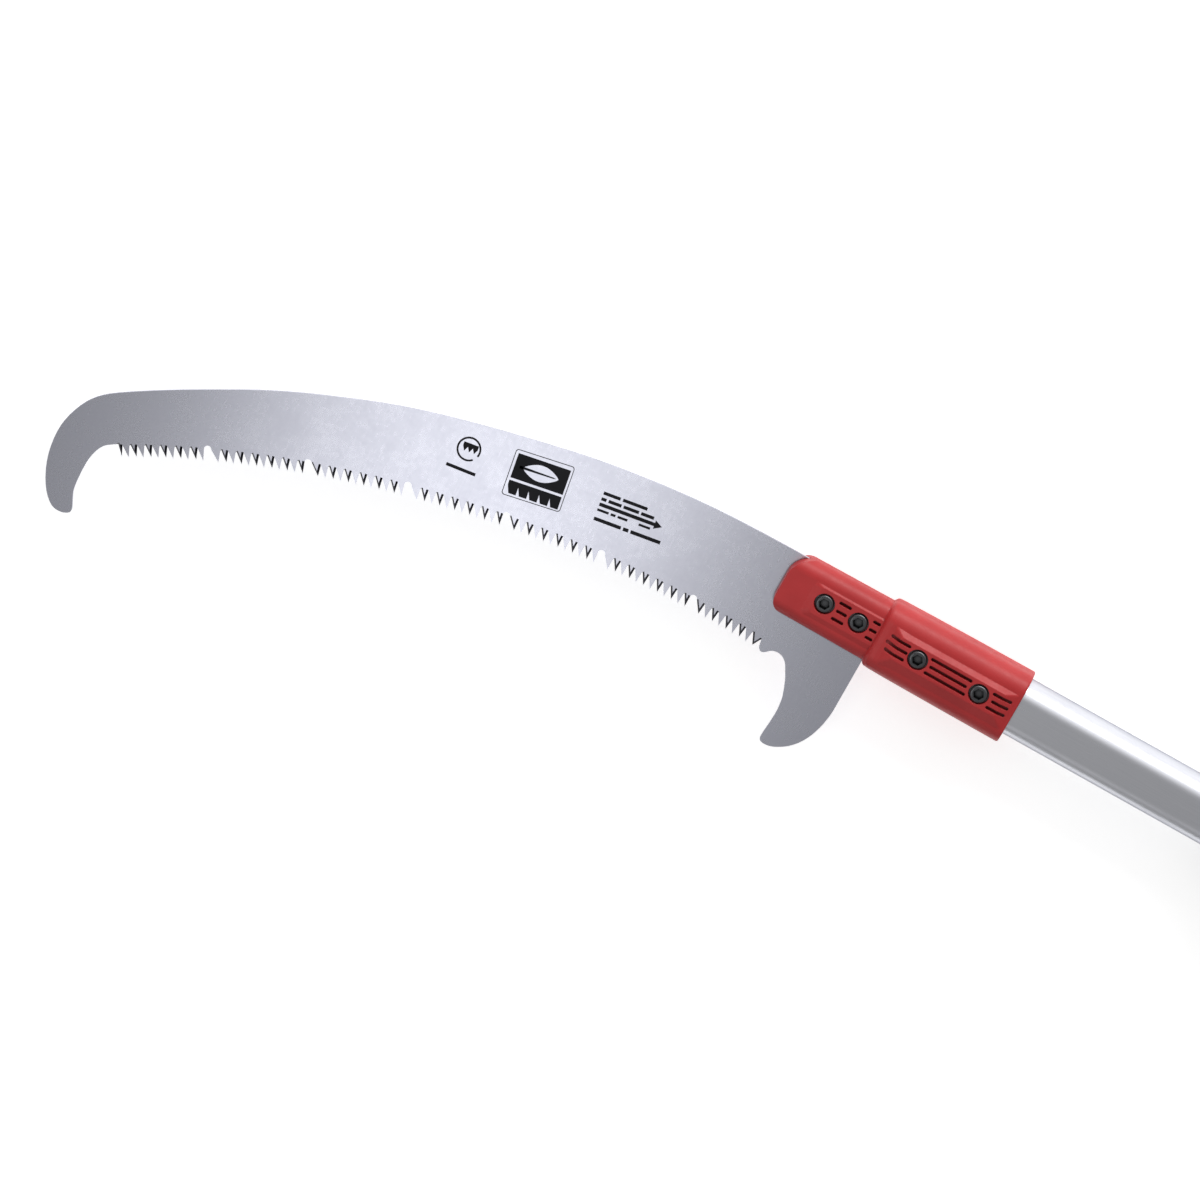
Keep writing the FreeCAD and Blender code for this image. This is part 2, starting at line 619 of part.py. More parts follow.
# grip grooves moulded into both flats, three rows in each group
rows_nose = (5.2, 0.0, -5.2)
rows_neck = (4.5, 0.0, -4.5)
vents = []
for y in rows_nose:
    dx = 0.5 if y == 0 else 0.0
    vents += slot_wire(-171.3 + dx, -163.5 - dx, y, D("vent_width"))
    vents += slot_wire(-149.4, -144.6, y, D("vent_width"))
vent_nose = extrude("vent_nose_up", free_sketch("vent_nose_rows", vents, "XY", D("vent_nose_floor"), "dims.vent_nose_floor"), V(0, 0, 1), "7")
vents = []
for y in rows_neck:
    dx = 1.3 if y == 0 else 0.0
    vents += slot_wire(-136.6 - dx, -123.6, y, D("vent_width"))
    vents += slot_wire(-110.6 + dx, -83.9 - dx, y, D("vent_width"))
    vents += slot_wire(-70.4 + dx, -58.4, y, D("vent_width"))
vent_neck = extrude("vent_neck_up", free_sketch("vent_neck_rows", vents, "XY", D("vent_neck_floor"), "dims.vent_neck_floor"), V(0, 0, 1), "6")
vents_down = mirror_z("vents_down", fuse("vents_up", [vent_nose, vent_neck]))

# the bay of the blade's tang, open below where the blade leaves the head
bay_sk = free_sketch("blade_bay_plan", poly([
    (-210.0, -30.0), (-143.65, -30.0), (-143.65, 12.2), (-147.1, 15.9), (-210.0, 16.6)]), "XY", -0.82)
bay = extrude("blade_bay", bay_sk, V(0, 0, 1), "dims.blade_thk + 0.04")

# the socket of the pole
socket_sk = free_sketch("tube_socket_oval", [], "YZ", D("inner_start") - 0.1, "dims.inner_start - 0.1")
add_oval(socket_sk, D("inner_hh") + 0.05, D("inner_ht") + 0.05, "bore",
         "dims.inner_hh + dims.fit_gap", "dims.inner_ht + dims.fit_gap")
socket = extrude("tube_socket", socket_sk, V(1, 0, 0), "100")

# screw passages, counterbores on the +Z side, nut seats on the -Z side
holes = []
for i in (1, 2, 3, 4):
    front = i < 3
    floor = "dims.cbore_nose" if front else "dims.cbore_neck"
    holes.append(cylinder("screw_bore%d" % i, "dims.screw_clear", "60", "dims.screw%d_x" % i, "0", "-30"))
    holes.append(cylinder("screw_cbore%d" % i, "dims.cbore_rad", "20", "dims.screw%d_x" % i, "0", floor))
front_tools = fuse("front_shell_tools", holes + [bay, socket, vent_nose, vent_neck])
holes_b = []
for i in (1, 2, 3, 4):
    front = i < 3
    seat = D("nut_seat_nose") if front else D("nut_seat_neck")
    hx = free_sketch("nut_seat_hex%d" % i, hexagon(D("nut_af") + 0.15, D("screw%d_x" % i), 0.0), "XY", -seat,
                     "-dims.nut_seat_" + ("nose" if front else "neck"))
    holes_b.append(extrude("nut_seat%d" % i, hx, V(0, 0, -1), "20"))
bores_b = [cylinder("screw_bore_b%d" % i, "dims.screw_clear", "60", "dims.screw%d_x" % i, "0", "-30") for i in (1, 2, 3, 4)]
back_tools = fuse("back_shell_tools", holes_b + bores_b + [bay, socket, vents_down])
half_up = box("half_space_up", "-260", "-60", "dims.split_gap", "260", "120", "60")
half_down = box("half_space_down", "-260", "-60", "-60", "260", "120", "60 - dims.split_gap")
shell_front = cut("shell_front", common("shell_front_half", head_outer, half_up), front_tools)
finish_node(shell_front, "head_shell_front")
shell_back = cut("shell_back", common("shell_back_half", head_outer, half_down), back_tools)
finish_node(shell_back, "head_shell_back")

# ------------------------------------------------------------------ screws, washers, nuts


def button_screw(name, x_expr, x, seat_expr, seat, end_expr, end):
    """Button-head screw along Z: the head sits on the washer, the shank runs down."""
    hr, hh, sr = D("screw_head_rad"), D("screw_head_ht"), D("screw_rad")
    body = new_body(name)
    sk = body_sketch(body, name + "_profile", "XZ")
    L = seat - end
    arc_mid = V(hr - 0.38, hh - 0.42, 0)
    sk.addGeometry([
        Part.LineSegment(V(0, -L, 0), V(sr - 0.6, -L, 0)),
        Part.LineSegment(V(sr - 0.6, -L, 0), V(sr, -L + 0.6, 0)),
        Part.LineSegment(V(sr, -L + 0.6, 0), V(sr, 0, 0)),
        Part.LineSegment(V(sr, 0, 0), V(hr, 0, 0)),
        Part.LineSegment(V(hr, 0, 0), V(hr, hh - 1.3, 0)),
        Part.Arc(V(hr, hh - 1.3, 0), arc_mid, V(hr - 1.3, hh, 0)),
        Part.LineSegment(V(hr - 1.3, hh, 0), V(0, hh, 0)),
        Part.LineSegment(V(0, hh, 0), V(0, -L, 0))], False)
    rv = body.newObject("PartDesign::Revolution", name + "_turned")
    rv.Profile = sk
    rv.ReferenceAxis = (sk, ["V_Axis"])
    rv.Angle = 360
    sk.Visibility = False
    doc.recompute()
    hx = body_sketch(body, name + "_socket", "XY")
    hx.AttachmentOffset = FreeCAD.Placement(V(0, 0, hh), FreeCAD.Rotation())
    hx.setExpression("AttachmentOffset.Base.z", "dims.screw_head_ht")
    hx.addGeometry(hexagon(D("socket_af")), False)
    pk = body.newObject("PartDesign::Pocket", name + "_socket_cut")
    pk.Profile = hx
    pk.Length = 2.5
    hx.Visibility = False
    body.setExpression("Placement.Base.x", x_expr)
    body.setExpression("Placement.Base.z", seat_expr)
    return body


w = D("washer_thk")
b1 = button_screw("blade_screw_a", "dims.screw1_x", D("screw1_x"), "dims.cbore_nose + dims.washer_thk", D("cbore_nose") + w, "", -11.4)
b2 = button_screw("blade_screw_b", "dims.screw2_x", D("screw2_x"), "dims.cbore_nose + dims.washer_thk", D("cbore_nose") + w, "", -11.4)
finish_node(compound("blade_screw_set", [b1, b2]), "blade_screws")
b3 = button_screw("pole_screw_a", "dims.screw3_x", D("screw3_x"), "dims.cbore_neck + dims.washer_thk", D("cbore_neck") + w, "", -18.3)
b4 = button_screw("pole_screw_b", "dims.screw4_x", D("screw4_x"), "dims.cbore_neck + dims.washer_thk", D("cbore_neck") + w, "", -18.3)
finish_node(compound("pole_screw_set", [b3, b4]), "pole_screws")

ws = []
for i in (1, 2, 3, 4):
    z = "dims.cbore_nose" if i < 3 else "dims.cbore_neck"
    a = cylinder("washer_disc%d" % i, "dims.washer_rad", "dims.washer_thk", "dims.screw%d_x" % i, "0", z)
    b = cylinder("washer_hole%d" % i, "dims.screw_rad + 0.1", "dims.washer_thk + 2", "dims.screw%d_x" % i, "0", z + " - 1")
    ws.append(cut("washer%d" % i, a, b))
finish_node(compound("washer_set", ws), "head_washers")


def hex_nut(name, i, seat_name):
    z = -D(seat_name)
    hx = free_sketch(name + "_hex", hexagon(D("nut_af"), D("screw%d_x" % i), 0.0), "XY", z, "-dims." + seat_name)
    blank = extrude(name + "_blank", hx, V(0, 0, -1), "dims.nut_ht")
    # the crown of the nut is bevelled all round
    crown = doc.addObject("Part::Cone", name + "_crown")
    crown.setExpression("Radius1", "dims.nut_af / 2 * 1.0")
    crown.setExpression("Radius2", "dims.nut_af / 2 * 1.0 + 9")
    crown.setExpression("Height", "9 / 0.55")
    crown.setExpression("Placement.Base.x", "dims.screw%d_x" % i)
    crown.setExpression("Placement.Base.z", "-dims.%s - dims.nut_ht" % seat_name)
    crowned = common(name + "_crowned", blank, crown)
    bore = cylinder(name + "_bore", "dims.screw_rad + 0.03", "40", "dims.screw%d_x" % i, "0", "-40")
    return cut(name, crowned, bore)


finish_node(compound("blade_nut_set", [hex_nut("blade_nut_a", 1, "nut_seat_nose"), hex_nut("blade_nut_b", 2, "nut_seat_nose")]), "blade_nuts")
finish_node(compound("pole_nut_set", [hex_nut("pole_nut_a", 3, "nut_seat_neck"), hex_nut("pole_nut_b", 4, "nut_seat_neck")]), "pole_nuts")

# ------------------------------------------------------------------ pole sections


def tube(name, prefix, holes=(), side_holes=()):
    """An oval tube along X; holes: X positions bored along Z, side_holes: along Y."""
    body = new_body(name)
    sk = body_sketch(body, name + "_section", "YZ", "dims.%s_start" % prefix)
    add_oval(sk, D(prefix + "_hh"), D(prefix + "_ht"), "outside", "dims.%s_hh" % prefix, "dims.%s_ht" % prefix)
    add_oval(sk, D(prefix + "_hh") - D("wall"), D(prefix + "_ht") - D("wall"), "inside",
             "dims.%s_hh - dims.wall" % prefix, "dims.%s_ht - dims.wall" % prefix)
    pad(body, sk, name + "_drawn", "dims.%s_len" % prefix)
    if holes:
        doc.recompute()
        hs = body_sketch(body, name + "_holes", "XY")
        for k, (x_expr, x) in enumerate(holes):
            add_circle(hs, x, 0, D("screw_clear"), "hole%d" % k, ex=x_expr, er="dims.screw_clear")
        pocket_through(body, hs, name + "_bored")
    if side_holes:
        doc.recompute()
        hs = body_sketch(body, name + "_side_holes", "XZ")
        for k, (x_expr, x) in enumerate(side_holes):
            add_circle(hs, x, 0, D("rivet_rad") + 0.05, "side%d" % k, ex=x_expr, er="dims.rivet_rad + dims.fit_gap")
        pocket_through(body, hs, name + "_side_bored")
    return body


def screw_hole(i):
    # the screws stand at negative X, so the distance is measured the other way
    return ("dims.screw%d_x" % i, D("screw%d_x" % i))


inner = tube("inner_section", "inner", holes=(screw_hole(3), screw_hole(4)))
finish_node(inner, "inner_tube")
middle = tube("middle_section", "middle", side_holes=(("dims.upper_lock_x + dims.rivet_x", D("upper_lock_x") + D("rivet_x")),))
finish_node(middle, "middle_tube")
outer = tube("outer_section", "outer", side_holes=(("dims.lower_lock_x + dims.rivet_x", D("lower_lock_x") + D("rivet_x")),))
finish_node(outer, "outer_tube")


def end_bush(name, small, big):
    """Nylon guide at the rear end of a section: a spigot in its own tube and a
    guide that runs in the next larger one, with an air hole through both."""
    body = new_body(name)
    end = "dims.%s_start + dims.%s_len" % (small, small)
    a = body_sketch(body, name + "_guide_oval", "YZ", end + " + dims.fit_gap")
    g = "dims.%s_%s - dims.wall - dims.guide_play"
    add_oval(a, D(big + "_hh") - D("wall") - D("guide_play"), D(big + "_ht") - D("wall") - D("guide_play"),
             "guide", g % (big, "hh"), g % (big, "ht"))
    pad(body, a, name + "_guide", "dims.bush_len")
    doc.recompute()
    b = body_sketch(body, name + "_spigot_oval", "YZ", end + " + 1")
    g = "dims.%s_%s - dims.wall - dims.fit_gap"
    add_oval(b, D(small + "_hh") - D("wall") - D("fit_gap"), D(small + "_ht") - D("wall") - D("fit_gap"),
             "spigot", g % (small, "hh"), g % (small, "ht"))
    pad(body, b, name + "_spigot", "dims.spigot_len", reverse=True)
    doc.recompute()
    c = body_sketch(body, name + "_air", "YZ", end)
    add_circle(c, 0, 0, D("bush_hole"), "air", er="dims.bush_hole")
    pocket_through(body, c, name + "_air_hole")
    return body


finish_node(end_bush("inner_end_bush", "inner", "middle"), "inner_tube_bush")
finish_node(end_bush("middle_end_bush", "middle", "outer"), "middle_tube_bush")

# nylon plug in the head end of the inner section, with a steel crush sleeve round each pole screw
plug = new_body("tube_plug")
sk = body_sketch(plug, "tube_plug_oval", "YZ", "dims.inner_start + 1")
add_oval(sk, D("inner_hh") - D("wall") - 0.1, D("inner_ht") - D("wall") - 0.1, "plug",
         "dims.inner_hh - dims.wall - 0.1", "dims.inner_ht - dims.wall - 0.1")
pad(plug, sk, "tube_plug_body", "78")
doc.recompute()
sk = body_sketch(plug, "tube_plug_holes", "XY")
for i in (3, 4):
    add_circle(sk, D("screw%d_x" % i), 0, D("sleeve_rad") + 0.05, "sleeve%d" % i, ex="dims.screw%d_x" % i,
               er="dims.sleeve_rad + dims.fit_gap")
pocket_through(plug, sk, "tube_plug_bored")
finish_node(plug, "tube_insert")
cs = []
for i in (3, 4):
    a = cylinder("sleeve_out%d" % i, "dims.sleeve_rad", "2 * (dims.inner_ht - dims.wall) - 0.1",
                 "dims.screw%d_x" % i, "0", "0.05 - (dims.inner_ht - dims.wall)")
    b = cylinder("sleeve_in%d" % i, "dims.screw_clear", "60", "dims.screw%d_x" % i, "0", "-30")
    cs.append(cut("crush_sleeve%d" % i, a, b))
finish_node(compound("crush_sleeve_set", cs), "crush_sleeves")

# ------------------------------------------------------------------ lock collars


def lock(key, small, big):
    """A nylon collar seated and riveted on the front end of the larger section.
    A cam lever on its flat presses a shoe on the smaller section."""
    X0 = D(key + "_lock_x")
    x0 = "dims.%s_lock_x" % key
    A, B = D(big + "_hh"), D(big + "_ht")
    b = D(small + "_ht")
    hh = A + D("lock_wall")
    ht = D("lock_ht")
    r = D("lock_corner")
    z_pin = b + D("shoe_gap") + D("shoe_thk") + D("cam_gap") + D("cam_rad") + D("cam_ecc") * math.sin(math.radians(45))
    z_pin_e = ("dims.%s_ht + dims.shoe_gap + dims.shoe_thk + dims.cam_gap + dims.cam_rad"
               " + dims.cam_ecc * 0.70710678") % small
    px = X0 + D("shoe_x")
    px_e = x0 + " + dims.shoe_x"

    # collar
    s1 = free_sketch(key + "_collar_section", rrect(-hh, -ht, hh, ht, (r, r, r, r)), "YZ", X0, x0)
    blank = extrude(key + "_collar_blank", s1, V(1, 0, 0), "dims.lock_len")
    ear_out = D("ear_in") + D("ear_thk")
    er = D("ear_rad")
    ears_sk = free_sketch(key + "_ear_outline", [
        Part.LineSegment(V(px - er - 3.5, 12.0, 0), V(px + er + 1.2, 12.0, 0)),
        Part.LineSegment(V(px + er + 1.2, 12.0, 0), V(px + er, z_pin, 0)),
        Part.Arc(V(px + er, z_pin, 0), V(px, z_pin + er, 0), V(px - er, z_pin, 0)),
        Part.LineSegment(V(px - er, z_pin, 0), V(px - er - 3.5, 12.0, 0))], "XZ", 0.0)
    ears = extrude(key + "_ears", ears_sk, V(0, 1, 0), "dims.ear_in + dims.ear_thk", "dims.ear_in + dims.ear_thk")
    solid = fuse(key + "_collar_solid", [blank, ears])
    bore_s = free_sketch(key + "_guide_oval", [], "YZ", X0 - 1, x0 + " - 1")
    add_oval(bore_s, D(small + "_hh") + D("guide_play"), b + D("guide_play"), "guide",
             "dims.%s_hh + dims.guide_play" % small, "dims.%s_ht + dims.guide_play" % small)
    bore = extrude(key + "_guide_bore", bore_s, V(1, 0, 0), "200")
    seat_s = free_sketch(key + "_seat_oval", [], "YZ", X0 + D("lock_seat"), x0 + " + dims.lock_seat")
    add_oval(seat_s, A + D("fit_gap"), B + D("fit_gap"), "seat",
             "dims.%s_hh + dims.fit_gap" % big, "dims.%s_ht + dims.fit_gap" % big)
    seat = extrude(key + "_seat_bore", seat_s, V(1, 0, 0), "100")
    window = box(key + "_window", px_e + " - dims.shoe_len / 2 - dims.window_play", "-dims.ear_in", "0",
                 "dims.shoe_len + 2 * dims.window_play", "2 * dims.ear_in", "60")
    pin_bore = cylinder(key + "_pin_bore", "dims.pin_rad + dims.pin_press", "60", px_e, "-30", z_pin_e, "y")
    rivet_bore = cylinder(key + "_rivet_bore", "dims.rivet_rad + dims.fit_gap", "80",
                          x0 + " + dims.rivet_x", "-40", "0", "y")
    rec = "dims.%s_hh + dims.lock_wall - 1.6" % big
    rec1 = cylinder(key + "_rivet_seat_a", "dims.rivet_head + 0.2", "20", x0 + " + dims.rivet_x", rec, "0", "y")
    rec2 = cylinder(key + "_rivet_seat_b", "dims.rivet_head + 0.2", "20", x0 + " + dims.rivet_x", "-20 - (%s)" % rec, "0", "y")
    tools = fuse(key + "_collar_tools", [bore, seat, window, pin_bore, rivet_bore, rec1, rec2])
    rough = cut(key + "_collar_rough", solid, tools)
    # the rim at both ends is bevelled
    t1 = free_sketch(key + "_rim_a", rrect(-hh + 1.6, -ht + 1.6, hh - 1.6, ht - 1.6, (r - 1.6,) * 4), "YZ", X0, x0)
    t2 = free_sketch(key + "_rim_b", rrect(-hh, -ht, hh, ht, (r,) * 4), "YZ", X0 + 2.2, x0 + " + 2.2")
    t3 = free_sketch(key + "_rim_c", rrect(-hh, -ht, hh, ht, (r,) * 4), "YZ", X0 + D("lock_len") - 2.2, x0 + " + dims.lock_len - 2.2")
    t4 = free_sketch(key + "_rim_d", rrect(-hh + 1.6, -ht + 1.6, hh - 1.6, ht - 1.6, (r - 1.6,) * 4), "YZ", X0 + D("lock_len"), x0 + " + dims.lock_len")
    t2b = free_sketch(key + "_rim_e", rrect(-hh, -ht, hh, ht, (r,) * 4), "YZ", X0 + 2.2, x0 + " + 2.2")
    t3b = free_sketch(key + "_rim_f", rrect(-hh, -ht, hh, ht, (r,) * 4), "YZ", X0 + D("lock_len") - 2.2, x0 + " + dims.lock_len - 2.2")
    ra = loft(key + "_rim_front", t1, t2)
    rb = loft(key + "_rim_mid", t2b, t3b)
    rc = loft(key + "_rim_rear", t3, t4)
    keep_top = box(key + "_ear_zone", px_e + " - 30", "-dims.ear_in - dims.ear_thk", "dims.lock_ht - 0.5",
                   "80", "2 * (dims.ear_in + dims.ear_thk)", "30")
    envelope = fuse(key + "_collar_envelope", [ra, rb, rc, keep_top])
    finish_node(common(key + "_collar", rough, envelope), key + "_lock_body")

    # shoe
    shoe = new_body(key + "_shoe")
    sk = body_sketch(shoe, key + "_shoe_plan", "XY", "dims.%s_ht + dims.shoe_gap" % small)
    hl, hw = D("shoe_len") / 2, D("ear_in") - D("window_play")
    g = sk.addGeometry(poly([(px - hl, -hw), (px + hl, -hw), (px + hl, hw), (px - hl, hw)]), False)
    C = Sketcher.Constraint
    for i in range(4):
        sk.addConstraint(C("Coincident", g[i], 2, g[(i + 1) % 4], 1))
    sk.addConstraint([C("Horizontal", g[0]), C("Horizontal", g[2]), C("Vertical", g[1]), C("Vertical", g[3])])
    c1 = sk.addConstraint(C("DistanceX", -1, 1, g[0], 1, px - hl)); sk.renameConstraint(c1, "rear")
    c2 = sk.addConstraint(C("DistanceX", g[0], 1, g[0], 2, 2 * hl)); sk.renameConstraint(c2, "span")
    c3 = sk.addConstraint(C("DistanceY", g[0], 1, -1, 1, hw)); sk.renameConstraint(c3, "side")
    c4 = sk.addConstraint(C("DistanceY", g[1], 1, g[1], 2, 2 * hw)); sk.renameConstraint(c4, "girth")
    sk.setExpression("Constraints.rear", px_e + " - dims.shoe_len / 2")
    sk.setExpression("Constraints.span", "dims.shoe_len")
    sk.setExpression("Constraints.side", "dims.ear_in - dims.window_play")
    sk.setExpression("Constraints.girth", "2 * (dims.ear_in - dims.window_play)")
    pad(shoe, sk, key + "_shoe_block", "dims.shoe_thk")
    finish_node(shoe, key + "_clamp_shoe")

    # lever: cam barrel and arm, bored for the pin
    barrel = cylinder(key + "_cam", "dims.cam_rad", "dims.cam_wid", px_e + " + dims.cam_ecc * 0.70710678",
                      "-dims.cam_wid / 2", "(%s) - dims.cam_ecc * 0.70710678" % z_pin_e, "y")
    zt = z_pin + 4.6
    th_ = D("lever_thk")
    LL = D("lever_len")
    arm_sk = free_sketch(key + "_arm_side", [
        Part.LineSegment(V(px + 1.0, zt - 6.0, 0), V(px + 9.2, zt - 6.4, 0)),
        Part.LineSegment(V(px + 9.2, zt - 6.4, 0), V(px + 9.2, zt - th_, 0)),
        Part.LineSegment(V(px + 9.2, zt - th_, 0), V(px + LL - 12, zt - th_, 0)),
        Part.LineSegment(V(px + LL - 12, zt - th_, 0), V(px + LL - 1.2, zt - th_ + 3.2, 0)),
        Part.LineSegment(V(px + LL - 1.2, zt - th_ + 3.2, 0), V(px + LL - 1.6, zt + 1.4, 0)),
        Part.LineSegment(V(px + LL - 1.6, zt + 1.4, 0), V(px + LL - 14, zt, 0)),
        Part.LineSegment(V(px + LL - 14, zt, 0), V(px + 1.0, zt, 0)),
        Part.LineSegment(V(px + 1.0, zt, 0), V(px + 1.0, zt - 6.0, 0))], "XZ", 0.0)
    arm_long = extrude(key + "_arm_long", arm_sk, V(0, 1, 0), "dims.lever_hw", "dims.lever_hw")
    lw = D("lever_hw")
    cw = D("cam_wid") / 2
    arm_plan = free_sketch(key + "_arm_plan", [
        Part.LineSegment(V(px - 1, -cw, 0), V(px + er + 2.6, -cw, 0)),
        Part.LineSegment(V(px + er + 2.6, -cw, 0), V(px + er + 4.6, -lw, 0)),
        Part.LineSegment(V(px + er + 4.6, -lw, 0), V(px + LL - 6, -lw + 1.6, 0)),
        Part.Arc(V(px + LL - 6, -lw + 1.6, 0), V(px + LL - 1.6, 0, 0), V(px + LL - 6, lw - 1.6, 0)),
        Part.LineSegment(V(px + LL - 6, lw - 1.6, 0), V(px + er + 4.6, lw, 0)),
        Part.LineSegment(V(px + er + 4.6, lw, 0), V(px + er + 2.6, cw, 0)),
        Part.LineSegment(V(px + er + 2.6, cw, 0), V(px - 1, cw, 0)),
        Part.LineSegment(V(px - 1, cw, 0), V(px - 1, -cw, 0))], "XY", 0.0)
    arm = common(key + "_arm", arm_long, extrude(key + "_arm_prism", arm_plan, V(0, 0, 1), "60"))
    lever_solid = fuse(key + "_lever_solid", [barrel, arm])
    lever_bore = cylinder(key + "_lever_bore", "dims.pin_rad + dims.pin_play", "60", px_e, "-30", z_pin_e, "y")
    finish_node(cut(key + "_lever_cut", lever_solid, lever_bore), key + "_lever")

    # pin
    pin = cylinder(key + "_pin", "dims.pin_rad", "2 * (dims.ear_in + dims.ear_thk) + 0.6", px_e,
                   "-dims.ear_in - dims.ear_thk - 0.3", z_pin_e, "y")
    finish_node(compound(key + "_pin_set", [pin]), key + "_lever_pin")

    # rivets: a shank through the collar wall and the tube wall, a low head in its seat
    rv = []
    for sgn, tag in ((1, "a"), (-1, "b")):
        body = new_body(key + "_rivet_" + tag)
        sk = body_sketch(body, key + "_rivet_profile_" + tag, "XZ")
        r1, r2 = D("rivet_rad"), D("rivet_head")
        L = D("lock_wall") - 1.6 + D("wall") - 0.1
        sk.addGeometry([
            Part.LineSegment(V(0, -L, 0), V(r1, -L, 0)),
            Part.LineSegment(V(r1, -L, 0), V(r1, 0, 0)),
            Part.LineSegment(V(r1, 0, 0), V(r2, 0, 0)),
            Part.LineSegment(V(r2, 0, 0), V(r2, 0.4, 0)),
            Part.Arc(V(r2, 0.4, 0), V(r2 * 0.74, 1.17, 0), V(r2 * 0.3, 1.5, 0)),
            Part.LineSegment(V(r2 * 0.3, 1.5, 0), V(0, 1.5, 0)),
            Part.LineSegment(V(0, 1.5, 0), V(0, -L, 0))], False)
        t = body.newObject("PartDesign::Revolution", key + "_rivet_turned_" + tag)
        t.Profile = sk
        t.ReferenceAxis = (sk, ["V_Axis"])
        t.Angle = 360
        body.Placement = FreeCAD.Placement(V(0, 0, 0), FreeCAD.Rotation(V(1, 0, 0), -90 * sgn))
        body.setExpression("Placement.Base.x", x0 + " + dims.rivet_x")
        body.setExpression("Placement.Base.y", "%d * (%s + dims.fit_gap)" % (sgn, rec))
        rv.append(body)
    finish_node(compound(key + "_rivet_set", rv), key + "_lock_rivets")


lock("upper", "inner", "middle")
lock("lower", "middle", "outer")

# ------------------------------------------------------------------ hand grip and butt cap
grip = new_body("grip_sleeve")
sk = body_sketch(grip, "grip_section", "YZ", "dims.grip_start")
add_oval(sk, D("outer_hh") + D("grip_thk"), D("outer_ht") + D("grip_thk"), "outside",
         "dims.outer_hh + dims.grip_thk", "dims.outer_ht + dims.grip_thk")
add_oval(sk, D("outer_hh") + D("fit_gap"), D("outer_ht") + D("fit_gap"), "inside",
         "dims.outer_hh + dims.fit_gap", "dims.outer_ht + dims.fit_gap")
pad(grip, sk, "grip_tube", "dims.grip_len")
finish_node(grip, "hand_grip")

cap = new_body("butt_cap")
sk = body_sketch(cap, "cap_oval", "YZ", "dims.cap_start")
add_oval(sk, D("cap_hh"), D("cap_ht"), "cap", "dims.cap_hh", "dims.cap_ht")
pad(cap, sk, "cap_block", "dims.cap_len")
doc.recompute()
sk = body_sketch(cap, "cap_bore_oval", "YZ", "dims.cap_start - 1")
add_oval(sk, D("outer_hh") + D("fit_gap"), D("outer_ht") + D("fit_gap"), "bore",
         "dims.outer_hh + dims.fit_gap", "dims.outer_ht + dims.fit_gap")
pk = cap.newObject("PartDesign::Pocket", "cap_bore")
pk.Profile = sk
pk.setExpression("Length", "1 + dims.outer_start + dims.outer_len + dims.fit_gap - dims.cap_start")
pk.Reversed = True
finish_node(cap, "end_cap")

# ------------------------------------------------------------------ check and write
doc.recompute()
bad = [o.Name for o in doc.Objects if "Invalid" in o.State or "Error" in o.State]
if bad:
    raise RuntimeError("objects failed: " + ", ".join(bad))
for o in NODES:
    if o.Shape.isNull() or not o.Shape.isValid() or not o.Shape.Solids:
        raise RuntimeError("bad shape: " + o.Label)
for o in NODES:
    o.Shape.exportStep("parts/%s.step" % o.Label)
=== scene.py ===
import bpy, bmesh, math, json, random
import numpy as np
from mathutils import Vector, Matrix


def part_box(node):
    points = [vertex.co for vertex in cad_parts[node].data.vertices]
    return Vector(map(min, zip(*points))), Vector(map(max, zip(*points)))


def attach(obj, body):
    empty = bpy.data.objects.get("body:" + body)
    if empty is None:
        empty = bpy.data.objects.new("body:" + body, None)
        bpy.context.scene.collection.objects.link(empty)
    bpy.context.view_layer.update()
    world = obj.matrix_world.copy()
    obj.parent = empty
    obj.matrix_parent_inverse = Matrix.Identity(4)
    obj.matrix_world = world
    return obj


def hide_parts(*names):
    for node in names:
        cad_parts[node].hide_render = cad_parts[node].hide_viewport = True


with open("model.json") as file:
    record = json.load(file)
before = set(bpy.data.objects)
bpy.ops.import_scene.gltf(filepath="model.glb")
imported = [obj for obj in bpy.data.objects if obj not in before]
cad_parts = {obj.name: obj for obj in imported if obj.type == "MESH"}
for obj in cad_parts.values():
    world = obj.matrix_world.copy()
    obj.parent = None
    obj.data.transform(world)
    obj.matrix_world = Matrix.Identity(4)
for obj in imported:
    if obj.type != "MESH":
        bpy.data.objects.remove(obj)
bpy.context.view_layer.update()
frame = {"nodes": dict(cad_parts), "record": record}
rec = frame["record"]
nodes = frame["nodes"]
random.seed(7)

# pole frame to part frame, metres
OX, OY, OZ = -0.47872, 0.07641, 0.021


def W(x, y, z=0.0):
    """A point given in mm about the pole's axis, in the part frame."""
    return Vector((x / 1000.0 + OX, y / 1000.0 + OY, z / 1000.0 + OZ))


# ------------------------------------------------------------------ node helpers
def material(name):
    m = bpy.data.materials.new(name)
    m.use_nodes = True
    nt = m.node_tree
    nt.nodes.clear()
    out = nt.nodes.new("ShaderNodeOutputMaterial")
    bs = nt.nodes.new("ShaderNodeBsdfPrincipled")
    nt.links.new(bs.outputs[0], out.inputs[0])
    return m, nt, bs


def coords(nt):
    n = nt.nodes.new("ShaderNodeTexCoord")
    return n.outputs["Object"]


def mapping(nt, vec, scale=(1, 1, 1), rot=(0, 0, 0), loc=(0, 0, 0)):
    n = nt.nodes.new("ShaderNodeMapping")
    n.inputs["Scale"].default_value = scale
    n.inputs["Rotation"].default_value = rot
    n.inputs["Location"].default_value = loc
    nt.links.new(vec, n.inputs["Vector"])
    return n.outputs[0]


